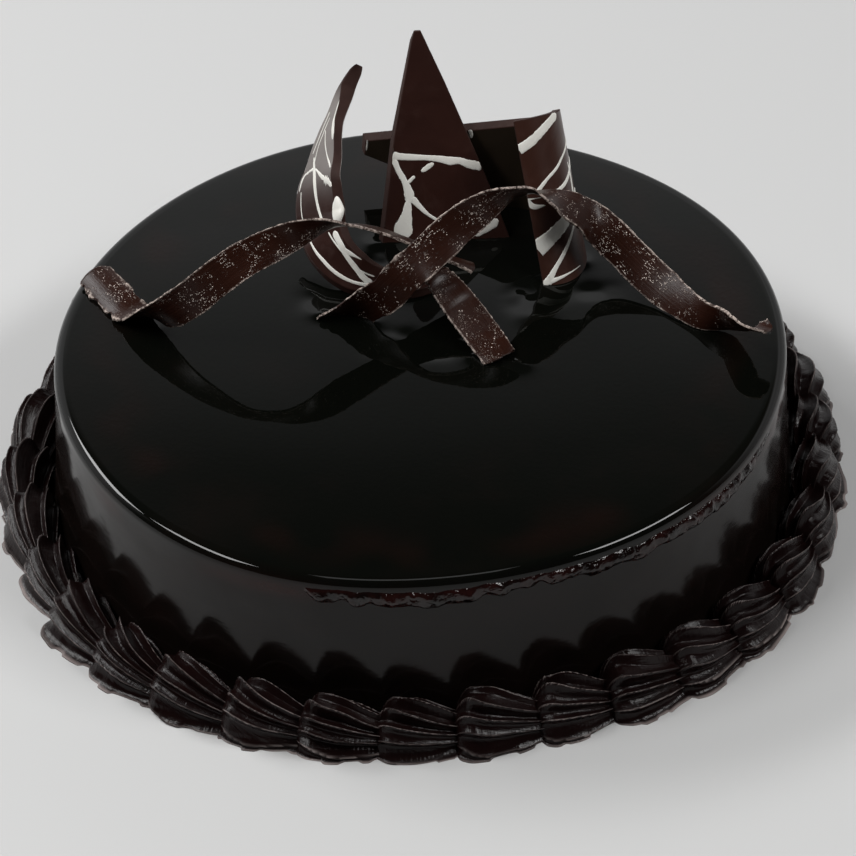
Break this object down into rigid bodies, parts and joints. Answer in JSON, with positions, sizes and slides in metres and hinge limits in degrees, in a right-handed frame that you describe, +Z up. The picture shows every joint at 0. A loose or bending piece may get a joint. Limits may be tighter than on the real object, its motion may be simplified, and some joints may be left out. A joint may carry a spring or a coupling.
{
  "type": "chocolate truffle cake",
  "caption": "Round chocolate truffle cake under dark mirror glaze, with piped ganache shells round its foot and drizzled chocolate plates and curled ribbons on top.",
  "frame": {"origin": "centre of the cake's flat base, on the surface that it stands on", "axes": "+Z up through the cake; -Y is the front, the side with the most open glaze in front of the garnish; +X is to the right seen from the front"},
  "size_m": [0.2232, 0.221, 0.0955],
  "materials": {
    "mirror_glaze": "very smooth, glossy dark chocolate glaze",
    "piped_ganache": "soft gloss, piped chocolate ganache",
    "dark_chocolate": "satin to glossy tempered dark chocolate",
    "ribbon_chocolate": "satin curled dark chocolate with pale scuffs and specks",
    "white_chocolate": "smooth white chocolate drizzle"
  },
  "bodies": {
    "root": {"cake_body": "mirror_glaze", "shell_01": "piped_ganache", "shell_02": "piped_ganache", "shell_03": "piped_ganache", "shell_04": "piped_ganache", "shell_05": "piped_ganache", "shell_06": "piped_ganache", "shell_07": "piped_ganache", "shell_08": "piped_ganache", "shell_09": "piped_ganache", "shell_10": "piped_ganache", "shell_11": "piped_ganache", "shell_12": "piped_ganache", "shell_13": "piped_ganache", "shell_14": "piped_ganache", "shell_15": "piped_ganache", "shell_16": "piped_ganache", "shell_17": "piped_ganache", "shell_18": "piped_ganache", "shell_19": "piped_ganache", "shell_20": "piped_ganache", "shell_21": "piped_ganache", "shell_22": "piped_ganache", "shell_23": "piped_ganache", "shell_24": "piped_ganache", "shell_25": "piped_ganache", "shell_26": "piped_ganache", "shell_27": "piped_ganache", "shell_28": "piped_ganache", "shell_29": "piped_ganache", "shell_30": "piped_ganache", "shell_31": "piped_ganache", "shell_32": "piped_ganache", "shell_33": "piped_ganache", "leaf_plate": "dark_chocolate", "tall_shard": "dark_chocolate", "rear_shard": "dark_chocolate", "striped_plate": "dark_chocolate", "ribbon_left": "ribbon_chocolate", "ribbon_right": "ribbon_chocolate", "ribbon_short": "ribbon_chocolate"}
  },
  "joints": []
}
